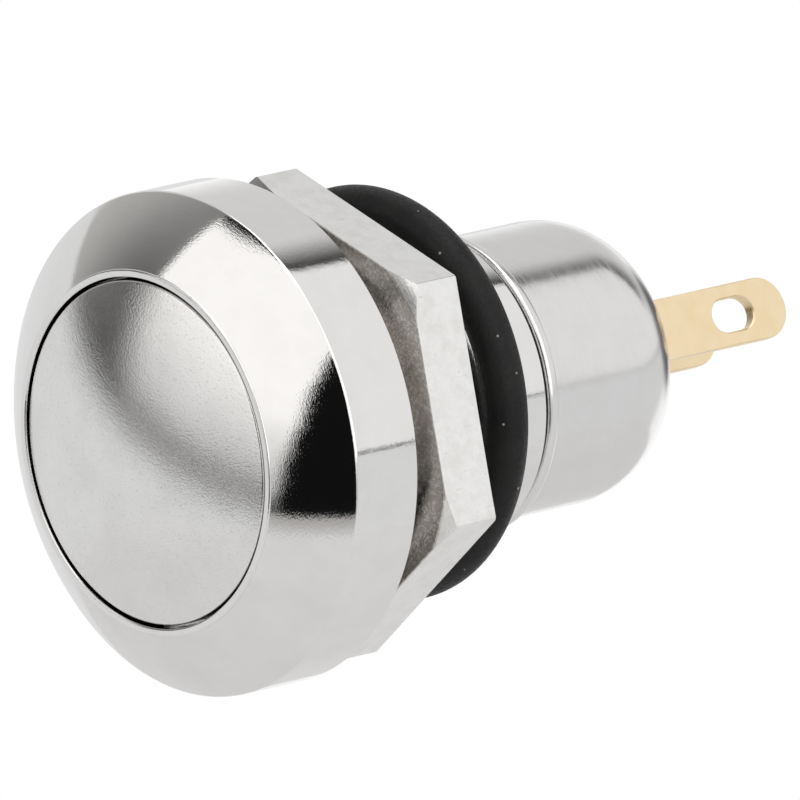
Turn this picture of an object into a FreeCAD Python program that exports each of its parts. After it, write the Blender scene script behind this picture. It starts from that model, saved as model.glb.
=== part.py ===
import FreeCAD, Part
import math
import os
import Sketcher

# A momentary push button for a round panel hole, with a domed button that sits inside a turned bezel.
# The axis of the switch is Y. The button faces -Y, the solder terminals point to +Y, and Z is up.
# The origin is the centre of the flange's seat, the flat face that lies on the panel.
# Every length is in millimetres and every angle in degrees.

DRIVING_SIZES = [
    # the head
    ("rim_radius", 9.0),
    ("head_height", 4.76),
    ("rim_length", 2.3),
    ("crest_round", 0.28),
    ("bevel_radius", 6.0),
    ("lip_width", 0.28),
    ("lip_step", 0.07),
    ("lip_round", 0.06),
    ("seat_chamfer", 0.12),
    # the button and its stem
    ("button_radius", 6.05),
    ("button_gap", 0.11),
    ("button_sink", 0.07),
    ("dome_rise", 1.15),
    ("land_length", 1.4),
    ("edge_round", 0.12),
    ("stem_radius", 2.5),
    ("stem_tail", 0.75),
    ("travel", 1.5),
    ("stop_clearance", 0.1),
    # the bush
    ("pilot_radius", 5.95),
    ("pilot_length", 0.8),
    ("relief_radius", 5.3),
    ("relief_length", 0.65),
    ("thread_radius", 5.95),
    ("tail_radius", 5.42),
    ("tail_length", 3.85),
    ("bush_length", 9.15),
    ("chamber_radius", 4.6),
    # the web that guides the stem
    ("pocket_radius", 4.0),
    ("web_front", 1.3),
    ("web_length", 2.7),
    ("stem_clearance", 0.06),
    ("gland_inset", 0.7),
    ("gland_length", 1.1),
    ("seal_section", 0.85),
    ("seal_clearance", 0.03),
    # the retaining clip
    ("clip_play", 0.05),
    ("clip_thickness", 0.5),
    ("clip_radius", 3.7),
    ("clip_opening", 3.0),
    ("clip_groove_depth", 0.5),
    ("clip_clearance", 0.02),
    # the springs
    ("return_wire", 0.4),
    ("return_coil_radius", 3.3),
    ("return_turns", 4.5),
    ("contact_wire", 0.2),
    ("contact_coil_radius", 0.95),
    ("contact_turns", 3.0),
    ("spring_clearance", 0.02),
    # the rear cup and its gasket
    ("gasket_thickness", 0.2),
    ("gasket_radius", 5.2),
    ("bead_radius", 5.38),
    ("bead_length", 0.5),
    ("bead_round", 0.2),
    ("cup_radius", 5.03),
    ("cup_wall", 0.5),
    ("cup_length", 7.7),
    ("cup_round", 3.0),
    ("cup_step", 0.05),
    ("opening_radius", 3.0),
    ("spigot_length", 2.85),
    ("spigot_wall", 0.43),
    ("press_clearance", 0.02),
    # the moulded base, the housing on it and the resin behind it
    ("base_thickness", 1.25),
    ("housing_length", 5.2),
    ("housing_wall", 0.6),
    ("housing_clearance", 0.05),
    ("potting_recess", 0.25),
    # the moving contact
    ("bridge_length", 6.6),
    ("bridge_width", 2.6),
    ("bridge_thickness", 0.35),
    ("bridge_side_play", 0.15),
    ("bridge_end_play", 0.2),
    ("bridge_hole_clearance", 0.12),
    ("contact_travel", 1.0),
    ("contact_clearance", 0.02),
    ("tip_radius", 0.5),
    ("tip_thickness", 0.3),
    ("tip_spacing", 5.5),
    ("tip_round", 0.08),
    # the plunger
    ("plunger_radius", 1.1),
    ("plunger_seat", 1.9),
    ("plunger_clearance", 0.06),
    ("shoulder_radius", 1.35),
    ("shoulder_length", 0.5),
    ("shoulder_play", 0.15),
    ("peg_radius", 0.6),
    ("peg_head_radius", 0.9),
    ("peg_head_length", 0.4),
    # the terminals
    ("terminal_spacing", 4.0),
    ("terminal_width", 2.2),
    ("terminal_thickness", 0.45),
    ("terminal_reach", 6.65),
    ("terminal_turn", 25.0),
    ("foot_bend", 0.3),
    ("eye_width", 1.2),
    ("eye_length", 1.9),
    ("eye_setback", 2.5),
    ("slot_clearance", 0.02),
    # the panel nut and the panel ring
    ("nut_wall", 1.43),
    ("nut_thickness", 2.2),
    ("nut_front", 2.05),
    ("nut_turn", 44.0),
    ("nut_clearance", 0.02),
    ("nut_chamfer_angle", 20.0),
    ("nut_face_chamfer", 0.08),
    ("nut_bore_chamfer", 0.35),
    ("ring_section", 1.84),
    ("ring_clearance", 0.08),
    ("ring_gap", 1.13),
]

doc = FreeCAD.newDocument("PushButton")
sheet = doc.addObject("Spreadsheet::Sheet", "Sizes")
for row, (size_name, size_value) in enumerate(DRIVING_SIZES, start=1):
    sheet.set(f"A{row}", size_name)
    sheet.set(f"B{row}", str(size_value))
    sheet.setAlias(f"B{row}", size_name)
doc.recompute()


# Places along the axis and radii that several pieces share, as formulas of the sheet's cells
LIP_PLANE = "-Sizes.head_height"
CAVITY_RADIUS = "(Sizes.button_radius + Sizes.button_gap)"
LIP_OUTER = f"({CAVITY_RADIUS} + Sizes.lip_width)"
BUTTON_EDGE = "(Sizes.button_sink - Sizes.head_height)"
BUTTON_UNDERSIDE = f"({BUTTON_EDGE} + Sizes.land_length)"
CAVITY_FLOOR = f"({BUTTON_UNDERSIDE} + Sizes.travel + Sizes.stop_clearance)"
STEM_BORE = "(Sizes.stem_radius + Sizes.stem_clearance)"
WEB_REAR = "(Sizes.web_front + Sizes.web_length)"
GLAND_FRONT = "(Sizes.web_front + Sizes.gland_inset)"
SEAL_CENTRE = "(Sizes.stem_radius + Sizes.seal_clearance + Sizes.seal_section / 2)"
GLAND_RADIUS = f"({SEAL_CENTRE} + Sizes.seal_section / 2 + Sizes.seal_clearance)"
CLIP_FRONT = f"({WEB_REAR} + Sizes.clip_play)"
CLIP_REAR = f"({CLIP_FRONT} + Sizes.clip_thickness)"
CLIP_GROOVE = "(Sizes.stem_radius - Sizes.clip_groove_depth)"
STEM_END = f"({CLIP_REAR} + Sizes.clip_clearance + Sizes.stem_tail)"

THREAD_END = "(Sizes.bush_length - Sizes.tail_length)"
CUP_FRONT = "(Sizes.bush_length + Sizes.gasket_thickness)"
BEAD_REAR = f"({CUP_FRONT} + Sizes.bead_length)"
SPIGOT_FRONT = f"({CUP_FRONT} - Sizes.spigot_length)"
SPIGOT_RADIUS = "(Sizes.chamber_radius - Sizes.press_clearance)"
SPIGOT_BORE = f"({SPIGOT_RADIUS} - Sizes.spigot_wall)"
CUP_STEP = f"({BEAD_REAR} + Sizes.cup_step)"
CUP_BORE = "(Sizes.cup_radius - Sizes.cup_wall)"
CUP_REAR = f"({CUP_FRONT} + Sizes.cup_length)"
CUP_BEND = f"({CUP_REAR} - Sizes.cup_round)"
CUP_INNER_ROUND = "(Sizes.cup_round - Sizes.cup_wall)"

BASE_REAR = f"({CUP_BEND} - Sizes.press_clearance)"
BASE_FRONT = f"({BASE_REAR} - Sizes.base_thickness)"
HOUSING_FRONT = f"({BASE_FRONT} - Sizes.housing_length)"
CHAMBER_FRONT = f"({HOUSING_FRONT} + Sizes.housing_wall)"
CHAMBER_HALF_LENGTH = "(Sizes.bridge_length / 2 + Sizes.bridge_end_play)"
FOOT_END = f"({CHAMBER_HALF_LENGTH} - Sizes.housing_clearance)"
FOOT_FRONT = f"({BASE_FRONT} - Sizes.terminal_thickness)"
FIXED_TIP_FRONT = f"({FOOT_FRONT} - Sizes.tip_thickness)"
BRIDGE_TIP_REAR = f"({FIXED_TIP_FRONT} - Sizes.contact_travel - Sizes.contact_clearance)"
BRIDGE_REAR = f"({BRIDGE_TIP_REAR} - Sizes.tip_thickness)"
BRIDGE_FRONT = f"({BRIDGE_REAR} - Sizes.bridge_thickness)"
PEG_HEAD_FRONT = f"({BRIDGE_REAR} + Sizes.contact_clearance)"
PEG_END = f"({PEG_HEAD_FRONT} + Sizes.peg_head_length)"
SHOULDER_FRONT = f"({CHAMBER_FRONT} + Sizes.shoulder_play)"
SHOULDER_REAR = f"({SHOULDER_FRONT} + Sizes.shoulder_length)"
PLUNGER_FRONT = f"({STEM_END} - Sizes.plunger_seat)"
TERMINAL_TIP = f"({CUP_REAR} + Sizes.terminal_reach)"
NUT_REAR = "(Sizes.nut_front + Sizes.nut_thickness)"
RING_CENTRE = f"({NUT_REAR} + Sizes.ring_gap + Sizes.ring_section / 2)"
NUT_BORE = "(Sizes.thread_radius + Sizes.nut_clearance)"
NUT_FLAT = f"({NUT_BORE} + Sizes.nut_wall)"

LINE_START, LINE_END = 1, 2
ORIGIN_POINT = (-1, 1)
ARC_ON_LEFT, ARC_ON_RIGHT = 1, -1


def value_of(formula):
    """The present value of a formula of the sheet's cells."""
    return float(sheet.evalExpression(formula.replace("Sizes.", "")))


def new_body(label):
    body = doc.addObject("PartDesign::Body", label + "_body")
    body.Label = label
    return body


def turn_about_axis(body, angle):
    """Turn a finished body about the switch's axis, from +X towards +Z."""
    body.Placement = FreeCAD.Placement(FreeCAD.Vector(), FreeCAD.Rotation(FreeCAD.Vector(0, -1, 0), 1))
    body.setExpression("Placement.Rotation.Angle", angle)


def new_sketch(body, name, plane, offset=None):
    """A sketch on one of the body's own origin planes, moved along the plane's normal."""
    sketch = body.newObject("Sketcher::SketchObject", name)
    support = [item for item in body.Origin.OriginFeatures if item.Role == plane][0]
    sketch.AttachmentSupport = [(support, "")]
    sketch.MapMode = "FlatFace"
    if offset:
        sketch.setExpression("AttachmentOffset.Base.z", offset)
    return sketch


def cross_sketch(body, name, place):
    """A sketch square to the switch's axis at a place along it. Its x is +X and its y is +Z."""
    return new_sketch(body, name, "XZ_Plane", f"-({place})")


def bind(sketch, kind, items, formula):
    """Add a dimension whose value is a formula."""
    index = sketch.addConstraint(Sketcher.Constraint(kind, *items, value_of(formula)))
    sketch.setExpression(f"Constraints[{index}]", formula)


def fix_point(sketch, geometry, point, corner):
    bind(sketch, "DistanceX", (*ORIGIN_POINT, geometry, point), corner[0])
    bind(sketch, "DistanceY", (*ORIGIN_POINT, geometry, point), corner[1])


def arc_between(start, end, radius, side):
    """The short arc from start to end that bulges to one side, and whether it runs anticlockwise."""
    chord = end - start
    across = FreeCAD.Vector(-chord.y, chord.x, 0).normalize()
    sagitta_side = math.sqrt(radius * radius - chord.Length * chord.Length / 4)
    centre = (start + end) * 0.5 - across * (side * sagitta_side)
    circle = Part.Circle(centre, FreeCAD.Vector(0, 0, 1), radius)
    anticlockwise = side == ARC_ON_RIGHT
    first, last = (start, end) if anticlockwise else (end, start)
    arc = Part.ArcOfCircle(circle, circle.parameter(first), circle.parameter(last))
    return arc, anticlockwise


def draw_outline(sketch, corners, arcs=None):
    """A closed outline through the corners. arcs gives (radius, side) for the sides that are round."""
    arcs = arcs or {}
    points = [FreeCAD.Vector(value_of(x), value_of(y), 0) for x, y in corners]
    sides = []
    for index, start in enumerate(points):
        end = points[(index + 1) % len(points)]
        if index in arcs:
            radius, side = arcs[index]
            arc, anticlockwise = arc_between(start, end, value_of(radius), side)
            geometry = sketch.addGeometry(arc, False)
            ends = (LINE_START, LINE_END) if anticlockwise else (LINE_END, LINE_START)
            sides.append((geometry, *ends))
        else:
            geometry = sketch.addGeometry(Part.LineSegment(start, end), False)
            sides.append((geometry, LINE_START, LINE_END))
    for index, (geometry, _, end_point) in enumerate(sides):
        following, start_point, _ = sides[(index + 1) % len(sides)]
        sketch.addConstraint(Sketcher.Constraint("Coincident", geometry, end_point, following, start_point))
    for (geometry, start_point, _), corner in zip(sides, corners):
        fix_point(sketch, geometry, start_point, corner)
    for index, (radius, _) in arcs.items():
        bind(sketch, "Radius", (sides[index][0],), radius)


def draw_circle(sketch, x, y, radius):
    centre = FreeCAD.Vector(value_of(x), value_of(y), 0)
    geometry = sketch.addGeometry(Part.Circle(centre, FreeCAD.Vector(0, 0, 1), value_of(radius)), False)
    fix_point(sketch, geometry, 3, (x, y))
    bind(sketch, "Radius", (geometry,), radius)


def draw_rectangle(sketch, x_low, x_high, y_low, y_high):
    draw_outline(sketch, [(x_low, y_low), (x_high, y_low), (x_high, y_high), (x_low, y_high)])


def revolve(body, name, corners, arcs=None, cut=False):
    """Turn an outline of (radius, place along the axis) about the switch's axis."""
    sketch = new_sketch(body, name + "_outline", "XY_Plane")
    draw_outline(sketch, corners, arcs)
    kind = "PartDesign::Groove" if cut else "PartDesign::Revolution"
    feature = body.newObject(kind, name)
    feature.Profile = sketch
    feature.ReferenceAxis = (sketch, ["V_Axis"])
    feature.Angle = 360
    doc.recompute()
    return feature


def pad(body, name, sketch, length, both_ways=False, backwards=False):
    feature = body.newObject("PartDesign::Pad", name)
    feature.Profile = sketch
    feature.setExpression("Length", length)
    feature.Midplane = both_ways
    feature.Reversed = backwards
    doc.recompute()
    return feature


def pocket(body, name, sketch, depth):
    """Cut from the sketch towards +Y, and make sure that something was cut."""
    before = body.Shape.Volume
    feature = body.newObject("PartDesign::Pocket", name)
    feature.Profile = sketch
    feature.setExpression("Length", depth)
    doc.recompute()
    if not feature.Shape.Volume < before:
        raise RuntimeError(f"{name} removes nothing")
    return feature


def circles_at(feature, *rings):
    """The names of the feature's full circles about the axis with these (radius, place) formulas."""
    wanted = [(value_of(radius), value_of(place)) for radius, place in rings]
    names = []
    for index, edge in enumerate(feature.Shape.Edges, start=1):
        if edge.Degenerated or not isinstance(edge.Curve, Part.Circle):
            continue
        radius, place = edge.Curve.Radius, edge.Curve.Center.y
        if any(abs(radius - r) < 0.001 and abs(place - p) < 0.001 for r, p in wanted):
            names.append(f"Edge{index}")
    if len(names) < len(rings):
        raise RuntimeError(f"{feature.Name} lacks one of the edges {rings}")
    return names


def fillet(body, name, feature, edges, radius):
    rounded = body.newObject("PartDesign::Fillet", name)
    rounded.Base = (feature, edges)
    rounded.setExpression("Radius", radius)
    doc.recompute()
    return rounded


def chamfer(body, name, feature, edges, size):
    bevelled = body.newObject("PartDesign::Chamfer", name)
    bevelled.Base = (feature, edges)
    bevelled.setExpression("Size", size)
    doc.recompute()
    return bevelled


def torus(label, centre_radius, place, section):
    """A rubber ring: a round section turned about the axis."""
    body = new_body(label)
    sketch = new_sketch(body, label + "_section", "XY_Plane")
    draw_circle(sketch, centre_radius, place, f"{section} / 2")
    feature = body.newObject("PartDesign::Revolution", label + "_ring")
    feature.Profile = sketch
    feature.ReferenceAxis = (sketch, ["V_Axis"])
    feature.Angle = 360
    doc.recompute()
    return body


def coil_spring(label, coil_radius, wire, turns, front, rear):
    """A coil of round wire between two faces, clear of both by the spring clearance."""
    body = new_body(label)
    inset = f"({wire} / 2 + Sizes.spring_clearance)"
    sketch = new_sketch(body, label + "_wire", "XY_Plane")
    draw_circle(sketch, coil_radius, f"{front} + {inset}", f"{wire} / 2")
    feature = body.newObject("PartDesign::AdditiveHelix", label + "_coil")
    feature.Profile = sketch
    feature.ReferenceAxis = (sketch, ["V_Axis"])
    feature.Mode = "height-turns-angle"
    feature.setExpression("Height", f"{rear} - {front} - 2 * {inset}")
    feature.setExpression("Turns", turns)
    doc.recompute()
    return body


def make_bezel_bush():
    """The turned head, with its lip, convex bevel and rim, and the threaded bush behind it."""
    body = new_body("bezel_bush")
    bevel_start = f"({LIP_PLANE} + Sizes.lip_step)"
    relief_front = "Sizes.pilot_length"
    relief_rear = "(Sizes.pilot_length + Sizes.relief_length)"
    thread_run_out = "(Sizes.thread_radius - Sizes.tail_radius)"
    outer = [
        (CAVITY_RADIUS, LIP_PLANE),
        (LIP_OUTER, LIP_PLANE),
        (LIP_OUTER, bevel_start),
        ("Sizes.rim_radius", "-Sizes.rim_length"),
        ("Sizes.rim_radius", "0"),
        ("Sizes.pilot_radius", "0"),
        ("Sizes.pilot_radius", relief_front),
        ("Sizes.relief_radius", relief_front),
        ("Sizes.relief_radius", relief_rear),
        ("Sizes.thread_radius", relief_rear),
        ("Sizes.thread_radius", f"{THREAD_END} - {thread_run_out}"),
        ("Sizes.tail_radius", THREAD_END),
        ("Sizes.tail_radius", "Sizes.bush_length"),
    ]
    inner = [
        ("Sizes.chamber_radius", "Sizes.bush_length"),
        ("Sizes.chamber_radius", WEB_REAR),
        (STEM_BORE, WEB_REAR),
        (STEM_BORE, f"{GLAND_FRONT} + Sizes.gland_length"),
        (GLAND_RADIUS, f"{GLAND_FRONT} + Sizes.gland_length"),
        (GLAND_RADIUS, GLAND_FRONT),
        (STEM_BORE, GLAND_FRONT),
        (STEM_BORE, "Sizes.web_front"),
        ("Sizes.pocket_radius", "Sizes.web_front"),
        ("Sizes.pocket_radius", CAVITY_FLOOR),
        (CAVITY_RADIUS, CAVITY_FLOOR),
    ]
    bevel_side = 2
    turned = revolve(body, "head_and_bush", outer + inner, {bevel_side: ("Sizes.bevel_radius", ARC_ON_RIGHT)})
    crest = circles_at(turned, ("Sizes.rim_radius", "-Sizes.rim_length"))
    crested = fillet(body, "crest", turned, crest, "Sizes.crest_round")
    lip = circles_at(crested, (CAVITY_RADIUS, LIP_PLANE), (LIP_OUTER, LIP_PLANE))
    lipped = fillet(body, "lip", crested, lip, "Sizes.lip_round")
    seat_edge = circles_at(lipped, ("Sizes.rim_radius", "0"))
    chamfer(body, "seat_edge", lipped, seat_edge, "Sizes.seat_chamfer")
    return body


def make_button_cap():
    """The domed button with its stem, clip groove and the blind bore that takes the plunger."""
    body = new_body("button_cap")
    radius, rise = "Sizes.button_radius", "Sizes.dome_rise"
    dome_radius = f"(({radius} * {radius} + {rise} * {rise}) / (2 * {rise}))"
    groove_rear = f"({CLIP_REAR} + Sizes.clip_clearance)"
    groove_front = f"({CLIP_FRONT} - Sizes.clip_clearance)"
    corners = [
        ("0", f"{BUTTON_EDGE} - {rise}"),
        (radius, BUTTON_EDGE),
        (radius, BUTTON_UNDERSIDE),
        ("Sizes.stem_radius", BUTTON_UNDERSIDE),
        ("Sizes.stem_radius", groove_front),
        (CLIP_GROOVE, groove_front),
        (CLIP_GROOVE, groove_rear),
        ("Sizes.stem_radius", groove_rear),
        ("Sizes.stem_radius", STEM_END),
        ("Sizes.plunger_radius + Sizes.press_clearance", STEM_END),
        ("Sizes.plunger_radius + Sizes.press_clearance", f"{PLUNGER_FRONT} - Sizes.press_clearance"),
        ("0", f"{PLUNGER_FRONT} - Sizes.press_clearance"),
    ]
    dome_side = 0
    turned = revolve(body, "dome_and_stem", corners, {dome_side: (dome_radius, ARC_ON_RIGHT)})
    edge = circles_at(turned, (radius, BUTTON_EDGE))
    fillet(body, "button_edge", turned, edge, "Sizes.edge_round")
    return body


def make_retaining_clip():
    """An open ring that snaps into the stem's groove behind the web."""
    body = new_body("retaining_clip")
    bore = f"{CLIP_GROOVE} + Sizes.clip_clearance"
    revolve(body, "clip_ring", [
        (bore, CLIP_FRONT),
        ("Sizes.clip_radius", CLIP_FRONT),
        ("Sizes.clip_radius", CLIP_REAR),
        (bore, CLIP_REAR),
    ])
    sketch = cross_sketch(body, "clip_mouth_outline", CLIP_FRONT)
    half = "Sizes.clip_opening / 2"
    draw_rectangle(sketch, f"-{half}", half, "0", "2 * Sizes.clip_radius")
    pocket(body, "clip_mouth", sketch, "Sizes.clip_thickness")
    return body


def make_plunger():
    """The moulded rod: seat in the stem, shoulder for the contact spring, and a peg with a snap head."""
    body = new_body("plunger")
    revolve(body, "plunger_rod", [
        ("0", PLUNGER_FRONT),
        ("Sizes.plunger_radius", PLUNGER_FRONT),
        ("Sizes.plunger_radius", SHOULDER_FRONT),
        ("Sizes.shoulder_radius", SHOULDER_FRONT),
        ("Sizes.shoulder_radius", SHOULDER_REAR),
        ("Sizes.peg_radius", SHOULDER_REAR),
        ("Sizes.peg_radius", PEG_HEAD_FRONT),
        ("Sizes.peg_head_radius", PEG_HEAD_FRONT),
        ("Sizes.peg_radius", PEG_END),
        ("0", PEG_END),
    ])
    return body


def dome_place(round_radius, radius):
    """The place where the cup's rounded end, or its inside, has shrunk to a radius."""
    bend_centre = "(Sizes.cup_radius - Sizes.cup_round)"
    rise = f"sqrt({round_radius} * {round_radius} - ({radius} - {bend_centre}) * ({radius} - {bend_centre}))"
    return f"({CUP_BEND} + {rise})"


def make_rear_cup():
    """The turned cup: a spigot inside the bush, a rounded bead, and a domed end with a round opening."""
    body = new_body("rear_cup")
    outer_dome_side, inner_dome_side = 5, 7
    turned = revolve(body, "cup_wall_and_end", [
        (SPIGOT_RADIUS, SPIGOT_FRONT),
        (SPIGOT_RADIUS, CUP_FRONT),
        ("Sizes.bead_radius", CUP_FRONT),
        ("Sizes.bead_radius", BEAD_REAR),
        ("Sizes.cup_radius", BEAD_REAR),
        ("Sizes.cup_radius", CUP_BEND),
        ("Sizes.opening_radius", dome_place("Sizes.cup_round", "Sizes.opening_radius")),
        ("Sizes.opening_radius", dome_place(CUP_INNER_ROUND, "Sizes.opening_radius")),
        (CUP_BORE, CUP_BEND),
        (CUP_BORE, CUP_STEP),
        (SPIGOT_BORE, CUP_STEP),
        (SPIGOT_BORE, SPIGOT_FRONT),
    ], {outer_dome_side: ("Sizes.cup_round", ARC_ON_RIGHT), inner_dome_side: (CUP_INNER_ROUND, ARC_ON_LEFT)})
    bead = circles_at(turned, ("Sizes.bead_radius", CUP_FRONT), ("Sizes.bead_radius", BEAD_REAR))
    fillet(body, "bead_edges", turned, bead, "Sizes.bead_round")
    return body


def make_body_gasket():
    body = new_body("body_gasket")
    revolve(body, "gasket_ring", [
        (f"{SPIGOT_RADIUS} + Sizes.press_clearance", "Sizes.bush_length"),
        ("Sizes.gasket_radius", "Sizes.bush_length"),
        ("Sizes.gasket_radius", CUP_FRONT),
        (f"{SPIGOT_RADIUS} + Sizes.press_clearance", CUP_FRONT),
    ])
    return body


def make_contact_housing():
    """The moulded sleeve round the moving contact: round outside, with an oblong chamber inside."""
    body = new_body("contact_housing")
    front_radius = f"{SPIGOT_BORE} - Sizes.housing_clearance"
    rear_radius = f"{CUP_BORE} - Sizes.housing_clearance"
    shoulder = f"{CUP_STEP} + Sizes.housing_clearance"
    guide_bore = "Sizes.plunger_radius + Sizes.plunger_clearance"
    revolve(body, "housing_sleeve", [
        (guide_bore, HOUSING_FRONT),
        (front_radius, HOUSING_FRONT),
        (front_radius, shoulder),
        (rear_radius, shoulder),
        (rear_radius, BASE_FRONT),
        (guide_bore, BASE_FRONT),
    ])
    half_width = "(Sizes.bridge_width / 2 + Sizes.bridge_side_play)"
    sketch = cross_sketch(body, "housing_chamber_outline", CHAMBER_FRONT)
    draw_rectangle(sketch, f"-{CHAMBER_HALF_LENGTH}", CHAMBER_HALF_LENGTH, f"-{half_width}", half_width)
    pocket(body, "housing_chamber", sketch, f"{BASE_FRONT} - {CHAMBER_FRONT}")
    turn_about_axis(body, "Sizes.terminal_turn")
    return body


def cut_blade_slots(body, name, front, depth):
    """The two slots that the terminal blades pass through."""
    half_thickness = "(Sizes.terminal_thickness / 2 + Sizes.slot_clearance)"
    half_width = "(Sizes.terminal_width / 2 + Sizes.slot_clearance)"
    sketch = cross_sketch(body, name + "_outline", front)
    for side in (-1, 1):
        centre = f"{side} * Sizes.terminal_spacing / 2"
        draw_rectangle(sketch, f"{centre} - {half_thickness}", f"{centre} + {half_thickness}",
                       f"-{half_width}", half_width)
    pocket(body, name, sketch, depth)


def make_terminal_base():
    """The moulded disc that carries the terminals, with a slot for each blade."""
    body = new_body("terminal_base")
    sketch = cross_sketch(body, "base_outline", BASE_FRONT)
    draw_circle(sketch, "0", "0", f"{CUP_BORE} - Sizes.housing_clearance")
    pad(body, "base_disc", sketch, "Sizes.base_thickness", backwards=True)
    cut_blade_slots(body, "base_slots", BASE_FRONT, "Sizes.base_thickness")
    turn_about_axis(body, "Sizes.terminal_turn")
    return body


def make_potting_seal():
    """The cast resin that fills the cup's rounded end round the blades, just short of the opening's edge."""
    body = new_body("potting_seal")
    skin = "Sizes.press_clearance"
    resin_round = f"({CUP_INNER_ROUND} - {skin})"
    neck = f"(Sizes.opening_radius - {skin})"
    resin_end = f"({dome_place('Sizes.cup_round', 'Sizes.opening_radius')} - Sizes.potting_recess)"
    dome_side = 2
    revolve(body, "resin_fill", [
        ("0", BASE_REAR),
        (f"{CUP_BORE} - {skin}", BASE_REAR),
        (f"{CUP_BORE} - {skin}", CUP_BEND),
        (neck, dome_place(resin_round, neck)),
        (neck, resin_end),
        ("0", resin_end),
    ], {dome_side: (resin_round, ARC_ON_RIGHT)})
    cut_blade_slots(body, "resin_slots", BASE_REAR, f"{resin_end} - {BASE_REAR}")
    turn_about_axis(body, "Sizes.terminal_turn")
    return body


def make_contact_bridge():
    """The strip that joins the two terminals, with a hole for the plunger's peg."""
    body = new_body("contact_bridge")
    sketch = cross_sketch(body, "bridge_outline", BRIDGE_FRONT)
    half_length, half_width = "Sizes.bridge_length / 2", "Sizes.bridge_width / 2"
    draw_rectangle(sketch, f"-{half_length}", half_length, f"-{half_width}", half_width)
    pad(body, "bridge_strip", sketch, "Sizes.bridge_thickness", backwards=True)
    hole = cross_sketch(body, "bridge_hole_outline", BRIDGE_FRONT)
    draw_circle(hole, "0", "0", "Sizes.peg_radius + Sizes.bridge_hole_clearance")
    pocket(body, "bridge_hole", hole, "Sizes.bridge_thickness")
    turn_about_axis(body, "Sizes.terminal_turn")
    return body


def make_tip(label, side, front, meeting_face):
    """A round silver tip. The edge of the face that meets the other tip is rounded."""
    body = new_body(label)
    centre = f"{side} * Sizes.tip_spacing / 2"
    sketch = cross_sketch(body, label + "_outline", front)
    draw_circle(sketch, centre, "0", "Sizes.tip_radius")
    disc = pad(body, label + "_disc", sketch, "Sizes.tip_thickness", backwards=True)
    fillet(body, label + "_edge", disc, circles_at(disc, ("Sizes.tip_radius", meeting_face)), "Sizes.tip_round")
    turn_about_axis(body, "Sizes.terminal_turn")
    return body


def make_terminal(label, side):
    """A stamped blade with a round end and an oblong eye, and a foot bent outwards on the base."""
    body = new_body(label)
    half_width = "Sizes.terminal_width / 2"
    inner_face = f"({side} * Sizes.terminal_spacing / 2 - {side} * Sizes.terminal_thickness / 2)"
    blade = new_sketch(body, label + "_blade_outline", "YZ_Plane", f"{side} * Sizes.terminal_spacing / 2")
    straight_end = f"({TERMINAL_TIP} - {half_width})"
    corners = [
        (FOOT_FRONT, f"-{half_width}"),
        (straight_end, f"-{half_width}"),
        (TERMINAL_TIP, "0"),
        (straight_end, half_width),
        (FOOT_FRONT, half_width),
    ]
    draw_outline(blade, corners, {side_of_tip: (half_width, ARC_ON_RIGHT) for side_of_tip in (1, 2)})
    eye_place = f"({TERMINAL_TIP} - Sizes.eye_setback)"
    eye_half = "((Sizes.eye_length - Sizes.eye_width) / 2)"
    eye_radius = "Sizes.eye_width / 2"
    draw_outline(blade, [
        (f"{eye_place} - {eye_half}", f"-{eye_radius}"),
        (f"{eye_place} + {eye_half}", f"-{eye_radius}"),
        (f"{eye_place} + {eye_half} + {eye_radius}", "0"),
        (f"{eye_place} + {eye_half}", eye_radius),
        (f"{eye_place} - {eye_half}", eye_radius),
        (f"{eye_place} - {eye_half} - {eye_radius}", "0"),
    ], {corner: (eye_radius, ARC_ON_RIGHT) for corner in (1, 2, 4, 5)})
    pad(body, label + "_blade", blade, "Sizes.terminal_thickness", both_ways=True)
    foot = cross_sketch(body, label + "_foot_outline", FOOT_FRONT)
    low, high = (inner_face, FOOT_END) if side > 0 else (f"-{FOOT_END}", inner_face)
    draw_rectangle(foot, low, high, f"-{half_width}", half_width)
    bent = pad(body, label + "_foot", foot, "Sizes.terminal_thickness", backwards=True)
    corner_x, corner_y = value_of(inner_face), value_of(FOOT_FRONT)
    bend_edges = [
        f"Edge{index}"
        for index, edge in enumerate(bent.Shape.Edges, start=1)
        if all(abs(v.X - corner_x) < 0.001 and abs(v.Y - corner_y) < 0.001 for v in edge.Vertexes)
    ]
    fillet(body, label + "_bend", bent, bend_edges, "Sizes.foot_bend")
    turn_about_axis(body, "Sizes.terminal_turn")
    return body


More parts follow.
